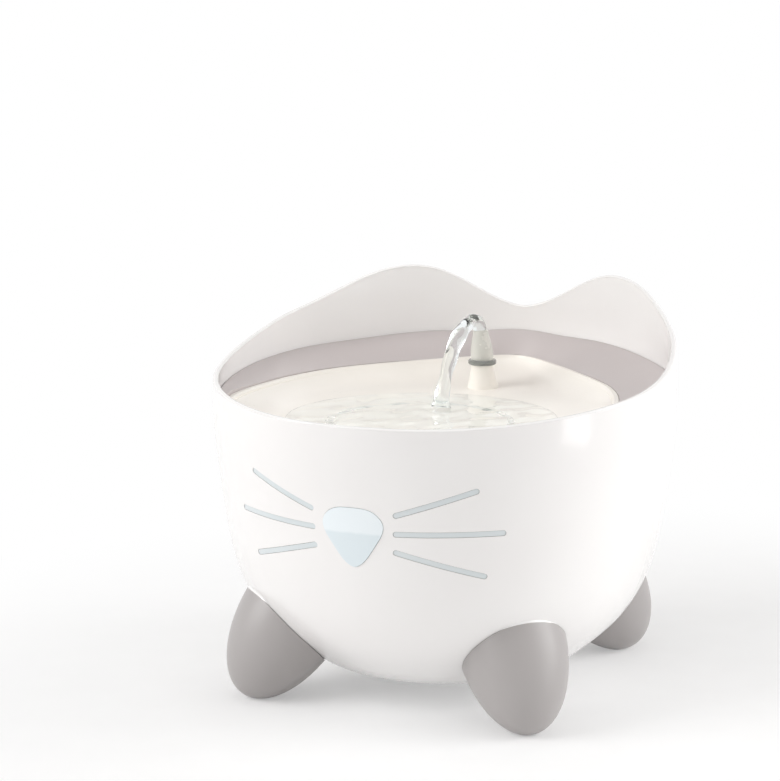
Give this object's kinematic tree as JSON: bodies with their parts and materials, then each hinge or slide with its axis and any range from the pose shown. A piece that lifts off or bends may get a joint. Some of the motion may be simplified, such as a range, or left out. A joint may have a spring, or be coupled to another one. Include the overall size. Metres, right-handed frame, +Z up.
{
  "type": "pet water fountain",
  "caption": "Round pet drinking fountain with an eared rim, rounded feet, a face of window slots, and a lift-out dish whose spout is fed by a filtered pump inside.",
  "frame": {"origin": "on the floor under the axis of the reservoir", "axes": "+Z up along the reservoir's axis; the nose faces -Y; +X is to the right seen from the front"},
  "size_m": [0.2364, 0.2364, 0.201],
  "materials": {
    "white_shell": "glossy white moulded plastic",
    "grey_foot": "satin warm grey",
    "grey_surround": "satin warm grey with a rosy tint",
    "cream_dish": "satin cream",
    "blue_window": "pale blue translucent plastic",
    "clear_plastic": "clear plastic",
    "frosted_plastic": "frosted translucent plastic",
    "dark_plastic": "matte black",
    "pad_rubber": "soft rubber",
    "silicone": "pale silicone",
    "lead_jacket": "black jacket",
    "steel": "plain",
    "copper": "enamelled copper winding",
    "board_green": "circuit board",
    "magnet": "ferrite magnet, dark grey",
    "foam": "open-cell foam",
    "carbon": "activated carbon bed"
  },
  "bodies": {
    "reservoir": {"reservoir_shell": "white_shell", "foot_front_right": "grey_foot", "foot_front_left": "grey_foot", "foot_back_right": "grey_foot", "foot_back_left": "grey_foot", "foot_screws": "steel", "foot_pads": "pad_rubber", "nose_window": "blue_window", "whisker_right_upper": "blue_window", "whisker_right_middle": "blue_window", "whisker_right_lower": "blue_window", "whisker_left_upper": "blue_window", "whisker_left_middle": "blue_window", "whisker_left_lower": "blue_window", "window_plate": "clear_plastic", "power_inlet": "dark_plastic", "inlet_gasket": "pad_rubber", "inlet_nut": "dark_plastic", "pump_lead": "lead_jacket", "pump_casing": "dark_plastic", "pump_front_cap": "dark_plastic", "light_lens": "clear_plastic", "stator_core": "steel", "stator_coils": "copper", "driver_board": "board_green", "light_emitter": "white_shell", "shaft_bushes": "pad_rubber", "impeller_cover": "dark_plastic", "suction_cups": "pad_rubber"},
    "dish_set": {"dish_surround": "grey_surround", "surround_seal": "silicone", "drinking_dish": "cream_dish", "riser_tube": "frosted_plastic", "riser_seal": "silicone", "spout_collar": "clear_plastic"},
    "spout": {"spout_nozzle": "clear_plastic"},
    "filter_cartridge": {"filter_frame": "white_shell", "filter_foam": "foam", "filter_carbon": "carbon", "filter_lid": "white_shell"},
    "pump_cover_body": {"pump_cover": "frosted_plastic"},
    "rotor": {"impeller": "white_shell", "rotor_magnet": "magnet", "rotor_shaft": "steel"},
    "regulator": {"flow_regulator": "grey_foot"}
  },
  "joints": [
    {"name": "dish_lift", "type": "slide", "parent": "reservoir", "child": "dish_set", "axis": [0, 0, 1], "range_m": [0, 0.3]},
    {"name": "filter_lift", "type": "slide", "parent": "reservoir", "child": "filter_cartridge", "axis": [0, 0, 1], "range_m": [0, 0.24]},
    {"name": "cover_lift", "type": "slide", "parent": "reservoir", "child": "pump_cover_body", "axis": [0, 0, 1], "range_m": [0, 0.192]},
    {"name": "nozzle_swivel", "type": "hinge", "parent": "dish_set", "child": "spout", "pos_m": [0, 0.054, 0.157], "axis": [0, 0, 1], "range_deg": [-90, 90]},
    {"name": "impeller_spin", "type": "hinge", "parent": "reservoir", "child": "rotor", "pos_m": [0, 0.05, 0.037], "axis": [0, 1, 0], "continuous": true},
    {"name": "flow_dial", "type": "hinge", "parent": "reservoir", "child": "regulator", "pos_m": [0, 0.0615, 0.037], "axis": [0, 1, 0], "range_deg": [-45, 0]}
  ],
  "couplings": [
    {"joint": "filter_lift", "follows": "dish_lift", "ratio": 0.8},
    {"joint": "cover_lift", "follows": "dish_lift", "ratio": 0.64}
  ]
}
